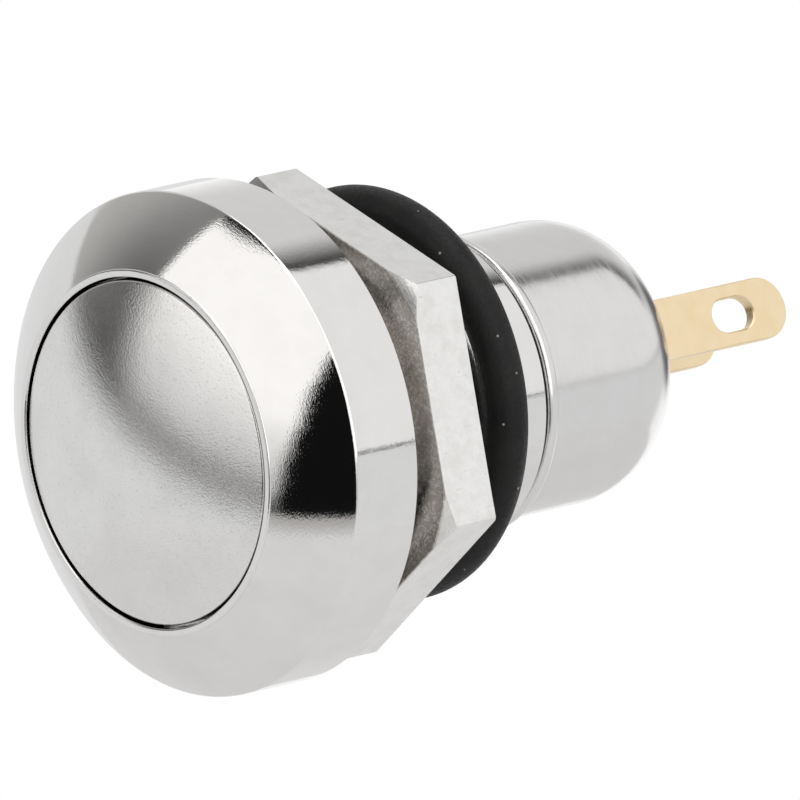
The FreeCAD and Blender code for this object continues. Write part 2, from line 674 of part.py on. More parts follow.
def make_hex_nut():
    """The panel nut: a hexagon with a cone-chamfered front face and a lightly broken rear face."""
    body = new_body("hex_nut")
    sketch = cross_sketch(body, "nut_outline", "Sizes.nut_front")
    corner_radius = f"({NUT_FLAT} / cos(30 deg))"
    corners = [
        (f"{corner_radius} * cos({60 * step} deg)", f"{corner_radius} * sin({60 * step} deg)")
        for step in range(6)
    ]
    draw_outline(sketch, corners)
    pad(body, "nut_block", sketch, "Sizes.nut_thickness", backwards=True)
    bore = cross_sketch(body, "nut_bore_outline", "Sizes.nut_front")
    draw_circle(bore, "0", "0", NUT_BORE)
    bored = pocket(body, "nut_bore", bore, "Sizes.nut_thickness")
    mouths = circles_at(bored, (NUT_BORE, "Sizes.nut_front"), (NUT_BORE, NUT_REAR))
    chamfer(body, "nut_bore_mouths", bored, mouths, "Sizes.nut_bore_chamfer")
    clear_radius = f"(2 * {NUT_FLAT})"
    front_depth = f"(({clear_radius} - {NUT_FLAT}) * tan(Sizes.nut_chamfer_angle * 1 deg))"
    revolve(body, "nut_front_chamfer", [
        (NUT_FLAT, "Sizes.nut_front"),
        (clear_radius, "Sizes.nut_front"),
        (clear_radius, f"Sizes.nut_front + {front_depth}"),
    ], cut=True)
    rear_start = f"({corner_radius} - 2 * Sizes.nut_face_chamfer)"
    revolve(body, "nut_rear_chamfer", [
        (rear_start, NUT_REAR),
        (clear_radius, f"{NUT_REAR} - ({clear_radius} - {rear_start}) / 2"),
        (clear_radius, NUT_REAR),
    ], cut=True)
    turn_about_axis(body, "Sizes.nut_turn")
    return body


pieces = [
    make_bezel_bush(),
    make_button_cap(),
    torus("button_seal", SEAL_CENTRE, f"{GLAND_FRONT} + Sizes.gland_length / 2", "Sizes.seal_section"),
    make_retaining_clip(),
    coil_spring("return_spring", "Sizes.return_coil_radius", "Sizes.return_wire", "Sizes.return_turns",
                BUTTON_UNDERSIDE, "Sizes.web_front"),
    make_plunger(),
    coil_spring("contact_spring", "Sizes.contact_coil_radius", "Sizes.contact_wire", "Sizes.contact_turns",
                SHOULDER_REAR, BRIDGE_FRONT),
    make_contact_bridge(),
    make_tip("bridge_tip_right", 1, BRIDGE_REAR, BRIDGE_TIP_REAR),
    make_tip("bridge_tip_left", -1, BRIDGE_REAR, BRIDGE_TIP_REAR),
    make_tip("fixed_tip_right", 1, FIXED_TIP_FRONT, FIXED_TIP_FRONT),
    make_tip("fixed_tip_left", -1, FIXED_TIP_FRONT, FIXED_TIP_FRONT),
    make_terminal("terminal_right", 1),
    make_terminal("terminal_left", -1),
    make_contact_housing(),
    make_terminal_base(),
    make_potting_seal(),
    make_rear_cup(),
    make_body_gasket(),
    make_hex_nut(),
    torus("panel_o_ring", "Sizes.tail_radius + Sizes.ring_clearance + Sizes.ring_section / 2",
          RING_CENTRE, "Sizes.ring_section"),
]
doc.recompute()

for item in doc.Objects:
    if "Invalid" in item.State or "Error" in item.State:
        raise RuntimeError(f"{item.Label} failed: {item.State}")
for piece in pieces:
    if piece.Shape.isNull() or not piece.Shape.isValid() or len(piece.Shape.Solids) != 1:
        raise RuntimeError(f"{piece.Label} is not one valid solid")

os.makedirs("parts", exist_ok=True)
for piece in pieces:
    piece.Shape.exportStep(f"parts/{piece.Label}.step")
    box = piece.Shape.BoundBox
    print(f"{piece.Label}: {piece.Shape.Volume:.2f} mm3, y {box.YMin:.3f} to {box.YMax:.3f}")
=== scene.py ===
import math

import bpy
import numpy as np
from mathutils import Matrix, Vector


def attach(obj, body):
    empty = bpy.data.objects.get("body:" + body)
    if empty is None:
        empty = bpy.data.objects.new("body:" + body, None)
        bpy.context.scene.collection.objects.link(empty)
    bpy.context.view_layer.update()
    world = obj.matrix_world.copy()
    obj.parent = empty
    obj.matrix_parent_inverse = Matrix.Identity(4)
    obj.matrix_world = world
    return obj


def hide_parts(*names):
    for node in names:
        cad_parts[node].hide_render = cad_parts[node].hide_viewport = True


# The looks of a momentary push button. Lengths in the tables below are in millimetres, y runs from the
# button (-Y) to the solder terminals (+Y), and the origin is the centre of the flange's seat.

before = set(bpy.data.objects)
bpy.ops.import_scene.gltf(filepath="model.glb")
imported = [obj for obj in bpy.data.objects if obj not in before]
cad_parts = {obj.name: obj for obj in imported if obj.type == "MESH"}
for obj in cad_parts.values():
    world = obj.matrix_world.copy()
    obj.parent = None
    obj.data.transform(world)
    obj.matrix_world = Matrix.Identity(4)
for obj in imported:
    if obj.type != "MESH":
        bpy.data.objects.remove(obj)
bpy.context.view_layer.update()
MM = 0.001

# Sizes as in the solids. The rim, bevel, crest, ring and nut chamfer follow the photo instead.
RIM_RADIUS = 8.87
LIP_PLANE, LIP_STEP, LIP_ROUND = -4.76, 0.07, 0.06
RIM_FRONT = -2.87
BEVEL_RADIUS, CREST_ROUND, SEAT_CHAMFER = 12.0, 0.16, 0.12
BUTTON_RADIUS, BUTTON_GAP, LIP_WIDTH = 6.05, 0.11, 0.28
DOME_RISE, BUTTON_EDGE_ROUND = 1.15, 0.12
BUTTON_FRONT, BUTTON_REAR = LIP_PLANE + LIP_STEP, -3.29
CAVITY_FLOOR = -1.69
PILOT_LENGTH, RELIEF_RADIUS = 0.8, 5.3
BUSH_REAR, TAIL_RADIUS, CHAMBER_RADIUS = 9.15, 5.42, 4.6
THREAD_PITCH, THREAD_CREST, THREAD_ROOT = 1.0, 5.95, 5.36
THREAD_FRONT, THREAD_REAR = 1.45, 5.3
STEM_RADIUS, STEM_BORE, STEM_REAR = 2.5, 2.56, 5.32
CLIP_FRONT, CLIP_REAR = 4.03, 4.57
POCKET_RADIUS, WEB_FRONT, WEB_REAR = 4.0, 1.3, 4.0
GLAND_RADIUS, GLAND_FRONT, GLAND_REAR = 3.41, 2.0, 3.1
CUP_FRONT, BEAD_LENGTH, BEAD_RADIUS, BEAD_ROUND = 9.35, 0.5, 5.38, 0.2
CUP_RADIUS, CUP_WALL, CUP_ROUND, CUP_BEND, CUP_OPENING = 5.03, 0.5, 3.0, 14.05, 3.0
SPIGOT_FRONT, SPIGOT_RADIUS, SPIGOT_BORE = 6.5, 4.58, 4.15
RING_SECTION, RING_CENTRE_RADIUS, RING_PLACE = 0.77, 6.55, 6.26
RING_SHIFT = (-0.09, 0.26)
NUT_FRONT, NUT_REAR = 2.05, 4.25
NUT_FLAT, NUT_BORE, NUT_MOUTH = 7.4, 5.97, 0.35
NUT_CONE_START, NUT_CORNER_ROUND = 7.95, 0.15
NUT_TURN = math.radians(44.0)
NUT_CHAMFER = math.radians(28.0)
TERMINAL_TURN = math.radians(25.0)
BLADE_PLACE, BLADE_THICKNESS, BLADE_HALF_WIDTH = 2.0, 0.45, 1.1
BLADE_FRONT, BLADE_REAR, BLADE_EASE = 12.33, 23.7, 0.05
EYE_PLACE, EYE_WIDTH, EYE_LENGTH = 21.2, 1.2, 1.9
FOOT_REACH = 3.45
CLIP_GROOVE, PLUNGER_BORE, PLUNGER_BORE_FRONT = 0.5, 1.12, 3.4
THREAD_SLOPE, THREAD_LAND, THREAD_RUN_OUT, THREAD_LEAD = 1.25, 0.12, 0.35, 0.2
TAIL_EASE, CUP_STEP = 0.05, 0.05
GASKET_RADIUS, GASKET_BORE, GASKET_GAP, GASKET_EASE = 5.2, 4.62, 0.01, 0.07
GASKET_EDGE, GASKET_SWELL = 5.0, 0.12

# How fine the meshes are: points round a turned piece, and the longest side of an outline
SEGMENTS = 288
THREAD_STEP, WALL_STEP, BUTTON_STEP, GASKET_STEP = 0.05, 0.3, 0.4, 0.1


# Shapes
def arc(centre, radius, start, end, count):
    """Points (r, y) = centre + radius * (cos a, sin a), with a running from start to end in degrees."""
    a = np.radians(np.linspace(start, end, count))
    return np.stack([centre[0] + radius * np.cos(a), centre[1] + radius * np.sin(a)], 1)


def rounded(corners, steps=7):
    """An outline with its corners rounded.
    Each corner (r, y, radius) becomes an arc between its two tangent points."""
    points = np.array([c[:2] for c in corners], float)
    out = []
    for i, corner in enumerate(corners):
        radius = corner[2] if len(corner) > 2 else 0
        before, here, after = points[i - 1], points[i], points[(i + 1) % len(points)]
        if not radius:
            out.append(here[None])
            continue
        u = (before - here) / math.hypot(*(before - here))
        v = (after - here) / math.hypot(*(after - here))
        half = math.acos(np.clip(u @ v, -1, 1)) / 2
        centre = here + (u + v) / math.hypot(*(u + v)) * radius / math.sin(half)
        first, last = here + u * radius / math.tan(half), here + v * radius / math.tan(half)
        a0 = math.atan2(*(first - centre)[::-1])
        turn = (math.atan2(*(last - centre)[::-1]) - a0 + math.pi) % math.tau - math.pi
        a = a0 + turn * np.linspace(0, 1, steps)
        out.append(np.stack([centre[0] + radius * np.cos(a), centre[1] + radius * np.sin(a)], 1))
    return np.vstack(out)


def dense(profile, step=0.12, closed=False):
    """The same outline with its long sides divided, so that no side is longer than the step."""
    ends = np.vstack([profile, profile[:1]]) if closed else profile
    out = [ends[:1]]
    for a, b in zip(ends[:-1], ends[1:]):
        count = max(1, math.ceil(math.hypot(*(b - a)) / step))
        out.append(a + (b - a) * (np.arange(1, count + 1) / count)[:, None])
    out = np.vstack(out)
    return out[:-1] if closed else out


def finish_mesh(name, verts, faces, material, body, nodes=(), sharp=30.0):
    """Make one closed mesh from points in millimetres, turn its faces outwards, and tie it to its body."""
    verts = np.asarray(verts, float) * MM
    mesh = bpy.data.meshes.new(name)
    mesh.from_pydata(verts, [], faces)
    mesh.validate()
    mesh.calc_loop_triangles()
    triangles = np.empty(len(mesh.loop_triangles) * 3, np.int32)
    mesh.loop_triangles.foreach_get("vertices", triangles)
    a, b, c = verts[triangles.reshape(-1, 3)].transpose(1, 0, 2)
    if np.einsum("ij,ij->i", a, np.cross(b, c)).sum() < 0:
        mesh.flip_normals()
    mesh.polygons.foreach_set("use_smooth", np.ones(len(mesh.polygons), bool))
    mesh.set_sharp_from_angle(angle=math.radians(sharp))
    mesh.materials.append(material)
    obj = bpy.data.objects.new(name, mesh)
    bpy.context.collection.objects.link(obj)
    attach(obj, body)
    if nodes:
        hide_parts(*nodes)
    return obj


def grid_faces(rows, columns, wrap_rows):
    """The quads of a grid of points whose columns close on themselves, and whose rows may too."""
    i = np.arange(rows if wrap_rows else rows - 1)[:, None]
    j = np.arange(columns)[None, :]
    i2, j2 = (i + 1) % rows, (j + 1) % columns
    corners = (i * columns + j, i * columns + j2, i2 * columns + j2, i2 * columns + j)
    return np.stack(corners, -1).reshape(-1, 4)


def turned(radius, place, theta):
    """A surface about Y: the point at (row, angle) is (radius cos angle, place, radius sin angle)."""
    radius, place, theta = np.broadcast_arrays(radius, place, theta)
    return np.stack([radius * np.cos(theta), place, radius * np.sin(theta)], -1).reshape(-1, 3)


def lathe(name, profile, material, body, nodes, sharp=30.0, poles=False, wobble=None, shift=(0.0, 0.0)):
    """A turned piece: the outline's points (r, y) go round Y, and wobble adds to r at each angle.
    With poles, the outline's first and last point lie on the axis."""
    theta = np.linspace(0, math.tau, SEGMENTS, endpoint=False)
    r, y = profile[:, 0][:, None], profile[:, 1][:, None]
    if wobble:
        r = r + wobble(r, y, theta[None, :])
    if not poles:
        verts = turned(np.broadcast_to(r, (len(profile), SEGMENTS)), y, theta) + (shift[0], 0.0, shift[1])
        faces = grid_faces(len(profile), SEGMENTS, True).tolist()
        return finish_mesh(name, verts, faces, material, body, nodes, sharp)
    rows = len(profile) - 2
    verts = turned(np.broadcast_to(r[1:-1], (rows, SEGMENTS)), y[1:-1], theta)
    verts = np.vstack([verts, [[0, profile[0, 1], 0], [0, profile[-1, 1], 0]]])
    j = np.arange(SEGMENTS)
    j2 = (j + 1) % SEGMENTS
    last_row = (rows - 1) * SEGMENTS
    first_fan = np.stack([np.full(SEGMENTS, len(verts) - 2), j2, j], 1)
    last_fan = np.stack([np.full(SEGMENTS, len(verts) - 1), last_row + j, last_row + j2], 1)
    faces = grid_faces(rows, SEGMENTS, False).tolist() + first_fan.tolist() + last_fan.tolist()
    return finish_mesh(name, verts, faces, material, body, nodes, sharp)


def thread_depth(y, theta, front, rear):
    """How far the thread is cut below its crest, from 0 to 1, at the place y and the angle theta.
    A vee of one pitch follows the helix, flat at crest and root, and fades out at both ends."""
    phase = (y / THREAD_PITCH - theta / math.tau) % 1.0
    vee = np.clip((1 - 2 * np.abs(phase - 0.5)) * THREAD_SLOPE - THREAD_LAND, 0, 1)
    fade_in = np.clip((y - front) / THREAD_RUN_OUT, 0, 1)
    fade_out = np.clip((rear - y) / THREAD_RUN_OUT, 0, 1)
    return vee * (fade_in * fade_out)


# Materials
class Nodes:
    """A short way to write a node tree: math(), span() and mix() add a node and return its output."""

    def __init__(self, tree):
        self.tree = tree
        self.tree.nodes.clear()

    def add(self, kind, **values):
        node = self.tree.nodes.new(kind)
        for key, value in values.items():
            setattr(node, key, value)
        return node

    def link(self, value, socket):
        if isinstance(value, bpy.types.NodeSocket):
            self.tree.links.new(value, socket)
        else:
            socket.default_value = value

    def math(self, operation, a, b=0.0, clamp=False):
        node = self.add("ShaderNodeMath", operation=operation, use_clamp=clamp)
        self.link(a, node.inputs[0])
        if len(node.inputs) > 1:
            self.link(b, node.inputs[1])
        return node.outputs[0]

    def total(self, *terms):
        """The sum of factor * value pairs and plain numbers."""
        out = 0.0
        for term in terms:
            value = self.math("MULTIPLY", term[1], term[0]) if isinstance(term, tuple) else term
            out = self.math("ADD", value, out)
        return out

    def span(self, value, low, high, to_low=0.0, to_high=1.0, smooth=True):
        node = self.add("ShaderNodeMapRange", interpolation_type="SMOOTHSTEP" if smooth else "LINEAR")
        self.link(value, node.inputs["Value"])
        node.inputs["From Min"].default_value = low
        node.inputs["From Max"].default_value = high
        node.inputs["To Min"].default_value = to_low
        node.inputs["To Max"].default_value = to_high
        return node.outputs[0]

    def mix(self, factor, a, b):
        node = self.add("ShaderNodeMix", data_type="RGBA")
        self.link(factor, node.inputs[0])
        self.link(a, node.inputs[6])
        self.link(b, node.inputs[7])
        return node.outputs[2]

    def noise(self, coords, scale, detail=3.0, roughness=0.55, stretch=None):
        if stretch:
            mapping = self.add("ShaderNodeMapping")
            self.link(coords, mapping.inputs["Vector"])
            mapping.inputs["Scale"].default_value = stretch
            coords = mapping.outputs[0]
        node = self.add("ShaderNodeTexNoise")
        self.link(coords, node.inputs["Vector"])
        node.inputs["Scale"].default_value = scale
        node.inputs["Detail"].default_value = detail
        node.inputs["Roughness"].default_value = roughness
        return node.outputs[0]

    def bump(self, height, strength, distance, normal=None):
        node = self.add("ShaderNodeBump")
        self.link(height, node.inputs["Height"])
        node.inputs["Strength"].default_value = strength
        node.inputs["Distance"].default_value = distance
        if normal:
            self.link(normal, node.inputs["Normal"])
        return node.outputs[0]


def surface(name, metallic=0.0, ior=1.5, coat=0.0, coat_rough=0.1):
    """A new material, its node helper, its shader and its Object coordinates in metres."""
    material = bpy.data.materials.new(name)
    material.use_nodes = True
    nodes = Nodes(material.node_tree)
    shader = nodes.add("ShaderNodeBsdfPrincipled")
    output = nodes.add("ShaderNodeOutputMaterial")
    nodes.link(shader.outputs[0], output.inputs["Surface"])
    shader.inputs["Metallic"].default_value = metallic
    shader.inputs["IOR"].default_value = ior
    shader.inputs["Coat Weight"].default_value = coat
    shader.inputs["Coat Roughness"].default_value = coat_rough
    coords = nodes.add("ShaderNodeTexCoord").outputs["Object"]
    return material, nodes, shader, coords


def axis_coords(nodes, coords):
    """The angle about Y, the radius and the place along Y, for marks that follow the lathe's tool."""
    split = nodes.add("ShaderNodeSeparateXYZ")
    nodes.link(coords, split.inputs[0])
    x, y, z = split.outputs
    radius = nodes.math("SQRT", nodes.math("ADD", nodes.math("MULTIPLY", x, x), nodes.math("MULTIPLY", z, z)))
    angle = nodes.math("ARCTAN2", z, x)
    return angle, radius, y


def tool_marks(nodes, coords, along, around):
    """Fine turned marks: noise that is stretched round the axis, read from (angle, radius, place)."""
    angle, radius, y = axis_coords(nodes, coords)
    joined = nodes.add("ShaderNodeCombineXYZ")
    nodes.link(nodes.math("MULTIPLY", angle, around), joined.inputs[0])
    nodes.link(nodes.math("MULTIPLY", radius, along), joined.inputs[1])
    nodes.link(nodes.math("MULTIPLY", y, along), joined.inputs[2])
    return nodes.noise(joined.outputs[0], 1.0, 2.0)


def nickel(name, roughness, marks, waves, base=(0.81, 0.80, 0.79)):
    """Polished nickel plate: a mirror with fine tool marks round the axis and a slight polishing wave."""
    material, nodes, shader, coords = surface(name, metallic=1.0)
    cloud = nodes.noise(coords, 900.0, 3.0)
    ring = tool_marks(nodes, coords, 26000.0, 1.5)
    clouded = tuple(part * share for part, share in zip(base, (0.97, 0.97, 0.965)))
    tint = nodes.mix(nodes.span(cloud, 0.35, 0.7), (*base, 1), (*clouded, 1))
    nodes.link(tint, shader.inputs["Base Color"])
    nodes.link(nodes.span(ring, 0.3, 0.8, roughness * 0.75, roughness * 1.5), shader.inputs["Roughness"])
    wave = nodes.noise(coords, 420.0, 2.0)
    wave_height, mark_height = 0.00006, 0.000002
    normal = nodes.bump(wave, waves, wave_height)
    hairs = tool_marks(nodes, coords, 22000.0, 70.0)
    normal = nodes.bump(hairs, 1.0, mark_height, normal)
    nodes.link(nodes.bump(ring, marks, mark_height, normal), shader.inputs["Normal"])
    return material


def satin_nickel():
    """Blasted nickel: a fine grain of small facets, each of them fairly bright, under a faint cloud."""
    material, nodes, shader, coords = surface("satin_nickel", metallic=1.0)
    grain = nodes.noise(coords, 12000.0, 3.0, 0.65)
    cloud = nodes.noise(coords, 500.0, 3.0)
    tint = nodes.mix(nodes.span(cloud, 0.3, 0.75), (0.82, 0.81, 0.80, 1), (0.77, 0.76, 0.75, 1))
    tint = nodes.mix(nodes.span(grain, 0.30, 0.42, 0.35, 0.0), tint, (0.35, 0.34, 0.33, 1))
    nodes.link(tint, shader.inputs["Base Color"])
    nodes.link(nodes.span(cloud, 0.3, 0.7, 0.13, 0.17), shader.inputs["Roughness"])
    nodes.link(nodes.bump(grain, 0.6, 0.00001), shader.inputs["Normal"])
    return material


def nut_plate():
    """Nickel plate over milled flats: fine scratches along and across them, small pits and a cloudy shine.
    The front face is painted darker and mottled brown, as painted shade where the rim shades it."""
    material, nodes, shader, coords = surface("nut_plate", metallic=1.0)
    lines = nodes.noise(coords, 1.0, 3.0, 0.6, stretch=(2500.0, 42000.0, 2500.0))
    nicks = nodes.noise(coords, 1.0, 2.0, 0.6, stretch=(9000.0, 900.0, 9000.0))
    cloud = nodes.noise(coords, 1500.0, 4.0, 0.65)
    specks = nodes.noise(coords, 9000.0, 2.0, 0.7)
    tint = nodes.mix(nodes.span(cloud, 0.35, 0.7), (0.87, 0.865, 0.85, 1), (0.80, 0.79, 0.77, 1))
    tint = nodes.mix(nodes.span(specks, 0.68, 0.75, 0.0, 0.7), tint, (0.45, 0.44, 0.42, 1))
    tint = nodes.mix(nodes.span(nicks, 0.66, 0.74, 0.0, 0.3), tint, (0.55, 0.54, 0.52, 1))
    split = nodes.add("ShaderNodeSeparateXYZ")
    nodes.link(coords, split.inputs[0])
    front_face = nodes.span(split.outputs[1], (NUT_FRONT + 0.01) * MM, (NUT_FRONT + 0.05) * MM, 1.0, 0.0)
    # painted shade: the front face's tint is darker and mottled brown where the rim shades it
    painted_front_shade = nodes.mix(nodes.span(specks, 0.5, 0.62), (0.50, 0.47, 0.445, 1), (0.70, 0.685, 0.66, 1))
    tint = nodes.mix(front_face, tint, painted_front_shade)
    nodes.link(tint, shader.inputs["Base Color"])
    nodes.link(nodes.span(lines, 0.3, 0.75, 0.12, 0.26), shader.inputs["Roughness"])
    normal = nodes.bump(cloud, 0.4, 0.00002)
    normal = nodes.bump(nicks, 0.5, 0.000008, normal)
    nodes.link(nodes.bump(lines, 0.3, 0.000006, normal), shader.inputs["Normal"])
    return material


def rubber(name, speck_share):
    """Matt black rubber with a fine skin and a few pale dust specks."""
    material, nodes, shader, coords = surface(name)
    skin = nodes.noise(coords, 7000.0, 4.0, 0.6)
    cloud = nodes.noise(coords, 700.0, 3.0)
    dust = nodes.add("ShaderNodeTexVoronoi", feature="F1")
    nodes.link(coords, dust.inputs["Vector"])
    dust.inputs["Scale"].default_value = 1900.0
    near = nodes.span(dust.outputs["Distance"], 0.05, 0.13, 1.0, 0.0)
    chosen = nodes.add("ShaderNodeSeparateColor")
    nodes.link(dust.outputs["Color"], chosen.inputs[0])
    few = nodes.math("LESS_THAN", chosen.outputs[0], speck_share)
    base = nodes.mix(nodes.span(cloud, 0.3, 0.7), (0.005, 0.005, 0.005, 1), (0.010, 0.010, 0.0095, 1))
    dusty = nodes.mix(nodes.math("MULTIPLY", near, few), base, (0.30, 0.29, 0.28, 1))
    nodes.link(dusty, shader.inputs["Base Color"])
    shader.inputs["Specular IOR Level"].default_value = 0.24
    nodes.link(nodes.span(skin, 0.3, 0.7, 0.42, 0.62), shader.inputs["Roughness"])
    nodes.link(nodes.bump(skin, 0.5, 0.00003), shader.inputs["Normal"])
    return material


def moulded(name, dark, light, roughness, scale=3500.0):
    """Moulded plastic or cast resin: a cloudy colour and a finely pitted skin."""
    material, nodes, shader, coords = surface(name)
    cloud = nodes.noise(coords, 600.0, 3.0)
    skin = nodes.noise(coords, scale, 3.0)
    nodes.link(nodes.mix(nodes.span(cloud, 0.3, 0.7), (*dark, 1), (*light, 1)), shader.inputs["Base Color"])
    nodes.link(nodes.span(skin, 0.3, 0.7, roughness * 0.85, roughness * 1.2), shader.inputs["Roughness"])
    nodes.link(nodes.bump(skin, 0.2, 0.00002), shader.inputs["Normal"])
    return material


def plated(name, dark, light, roughness, scratch=0.15):
    """Plated or drawn metal: rolled lines along Y, a slightly cloudy tint and worn spots."""
    material, nodes, shader, coords = surface(name, metallic=1.0)
    cloud = nodes.noise(coords, 1200.0, 3.0)
    rolled = nodes.noise(coords, 1.0, 3.0, 0.6, stretch=(16000.0, 1500.0, 16000.0))
    nodes.link(nodes.mix(nodes.span(cloud, 0.3, 0.72), (*light, 1), (*dark, 1)), shader.inputs["Base Color"])
    nodes.link(nodes.span(rolled, 0.3, 0.7, roughness * 0.8, roughness * 1.25), shader.inputs["Roughness"])
    nodes.link(nodes.bump(rolled, scratch, 0.00001), shader.inputs["Normal"])
    return material


HEAD_NICKEL = nickel("head_nickel", 0.045, 0.25, 0.10)
CUP_NICKEL = nickel("cup_nickel", 0.18, 0.3, 0.2, (0.76, 0.75, 0.745))
SATIN = satin_nickel()
NUT_PLATE = nut_plate()
RING_RUBBER = rubber("ring_rubber", 0.22)
SEAL_RUBBER = rubber("seal_rubber", 0.05)
SPRING_STEEL = plated("spring_steel", (0.45, 0.45, 0.46), (0.58, 0.58, 0.59), 0.28)
BRASS = plated("contact_brass", (0.68, 0.50, 0.24), (0.80, 0.62, 0.32), 0.3)
SILVER = plated("contact_silver", (0.78, 0.77, 0.73), (0.88, 0.87, 0.84), 0.25)
GOLD = plated("gold_plate", (0.87, 0.70, 0.45), (0.90, 0.74, 0.50), 0.36, 0.1)
PLASTIC = moulded("moulded_plastic", (0.035, 0.035, 0.038), (0.055, 0.055, 0.06), 0.45)
RESIN = moulded("potting_resin", (0.02, 0.02, 0.022), (0.035, 0.034, 0.034), 0.22, 1500.0)


# Turned pieces
def eased_arc(centre, radius, start, cylinder, ease, count):
    """An arc about centre from start, run into a cylinder about Y by a smaller arc that touches both."""
    cr, cy = centre
    fr = cylinder - ease
    fy = cy - math.sqrt((radius - ease) ** 2 - (fr - cr) ** 2)
    meeting = math.degrees(math.atan2(fy - cy, fr - cr))
    first = math.degrees(math.atan2(start[1] - cy, start[0] - cr))
    return np.vstack([arc(centre, radius, first, meeting, count), arc((fr, fy), ease, meeting, 0, 16)[1:]])


def arc_centre(start, end, radius):
    """The centre of the arc from start to end that bulges away from the axis."""
    start, end = np.array(start), np.array(end)
    chord = end - start
    length = math.hypot(*chord)
    across = np.array([chord[1], -chord[0]]) / length
    return tuple((start + end) / 2 - across * math.sqrt(radius ** 2 - length ** 2 / 4))


def bezel_outline():
    """The head and bush in one outline: lip, bevel, crest, rim, seat, pilot, relief, thread and bores."""
    cavity = BUTTON_RADIUS + BUTTON_GAP
    lip = cavity + LIP_WIDTH
    start, end = (lip, LIP_PLANE + LIP_STEP), (RIM_RADIUS, RIM_FRONT)
    bevel = eased_arc(arc_centre(start, end, BEVEL_RADIUS), BEVEL_RADIUS, start, RIM_RADIUS, CREST_ROUND, 30)
    head = rounded([
        (cavity, CAVITY_FLOOR), (cavity, LIP_PLANE, LIP_ROUND), (lip, LIP_PLANE, LIP_ROUND), *bevel,
        (RIM_RADIUS, -SEAT_CHAMFER), (RIM_RADIUS - SEAT_CHAMFER, 0.0), (THREAD_CREST, 0.0),
        (THREAD_CREST, PILOT_LENGTH), (RELIEF_RADIUS, PILOT_LENGTH), (RELIEF_RADIUS, THREAD_FRONT),
    ])
    thread = dense(np.array([
        (THREAD_CREST - THREAD_LEAD, THREAD_FRONT), (THREAD_CREST, THREAD_FRONT + THREAD_LEAD),
        (THREAD_CREST, THREAD_REAR - (THREAD_CREST - TAIL_RADIUS)), (TAIL_RADIUS, THREAD_REAR),
    ]), THREAD_STEP)
    inside = rounded([
        (TAIL_RADIUS, BUSH_REAR, TAIL_EASE), (CHAMBER_RADIUS, BUSH_REAR), (CHAMBER_RADIUS, WEB_REAR),
        (STEM_BORE, WEB_REAR), (STEM_BORE, GLAND_REAR),
        (GLAND_RADIUS, GLAND_REAR), (GLAND_RADIUS, GLAND_FRONT),
        (STEM_BORE, GLAND_FRONT), (STEM_BORE, WEB_FRONT),
        (POCKET_RADIUS, WEB_FRONT), (POCKET_RADIUS, CAVITY_FLOOR),
    ])
    return dense(np.vstack([head, thread, inside]), WALL_STEP, closed=True)


def cut_thread(r, y, theta):
    """The screw's depth, taken from the outside of the bush between the relief and the smooth tail."""
    root_slack, front_slack = 0.01, 0.001
    early, late = 0.2, 0.1
    outside = (r > THREAD_ROOT - root_slack) & (y > THREAD_FRONT - front_slack) & (y < THREAD_REAR)
    share = thread_depth(y, theta, THREAD_FRONT - early, THREAD_REAR + late)
    depth = (THREAD_CREST - THREAD_ROOT) * share
    return np.where(outside, np.minimum(THREAD_CREST - depth - r, 0.0), 0.0)


def button_outline():
    """The dome as a slice of a sphere with an eased edge, then the skirt, the stem, its groove and bore."""
    dome_radius = (BUTTON_RADIUS ** 2 + DOME_RISE ** 2) / (2 * DOME_RISE)
    top = BUTTON_FRONT - DOME_RISE
    dome = eased_arc((0.0, top + dome_radius), dome_radius, (0.0, top), BUTTON_RADIUS, BUTTON_EDGE_ROUND, 60)
    groove = STEM_RADIUS - CLIP_GROOVE
    stem = np.array([
        (BUTTON_RADIUS, BUTTON_REAR), (STEM_RADIUS, BUTTON_REAR),
        (STEM_RADIUS, CLIP_FRONT), (groove, CLIP_FRONT), (groove, CLIP_REAR), (STEM_RADIUS, CLIP_REAR),
        (STEM_RADIUS, STEM_REAR), (PLUNGER_BORE, STEM_REAR),
        (PLUNGER_BORE, PLUNGER_BORE_FRONT), (0.0, PLUNGER_BORE_FRONT),
    ])
    return dense(np.vstack([dome, stem]), BUTTON_STEP)


def cup_outline():
    """The cup: spigot, rounded bead, smooth wall and a domed end whose arc stops at the round opening."""
    bead_rear = CUP_FRONT + BEAD_LENGTH
    step = bead_rear + CUP_STEP
    front = rounded([
        (SPIGOT_BORE, step), (SPIGOT_BORE, SPIGOT_FRONT),
        (SPIGOT_RADIUS, SPIGOT_FRONT), (SPIGOT_RADIUS, CUP_FRONT),
        (BEAD_RADIUS, CUP_FRONT, BEAD_ROUND), (BEAD_RADIUS, bead_rear, BEAD_ROUND), (CUP_RADIUS, bead_rear),
    ], 9)
    centre = (CUP_RADIUS - CUP_ROUND, CUP_BEND)
    inner_round = CUP_ROUND - CUP_WALL
    outer_stop = math.degrees(math.acos((CUP_OPENING - centre[0]) / CUP_ROUND))
    inner_stop = math.degrees(math.acos((CUP_OPENING - centre[0]) / inner_round))
    dome = arc(centre, CUP_ROUND, 0.0, outer_stop, 40)
    inside = arc(centre, inner_round, inner_stop, 0.0, 20)
    return dense(np.vstack([front, dome, inside, [(CUP_RADIUS - CUP_WALL, step)]]), WALL_STEP, closed=True)


def pressed_edge(r, y, theta):
    """The gasket's outer edge is drawn in by waves of several counts, which all close round the axis."""
    wave = 0.5 + 0.25 * np.sin(7 * theta + 0.6) + 0.25 * np.sin(11 * theta + 2.1) * np.cos(3 * theta)
    return np.where(r > GASKET_EDGE, -GASKET_SWELL * wave, 0.0)


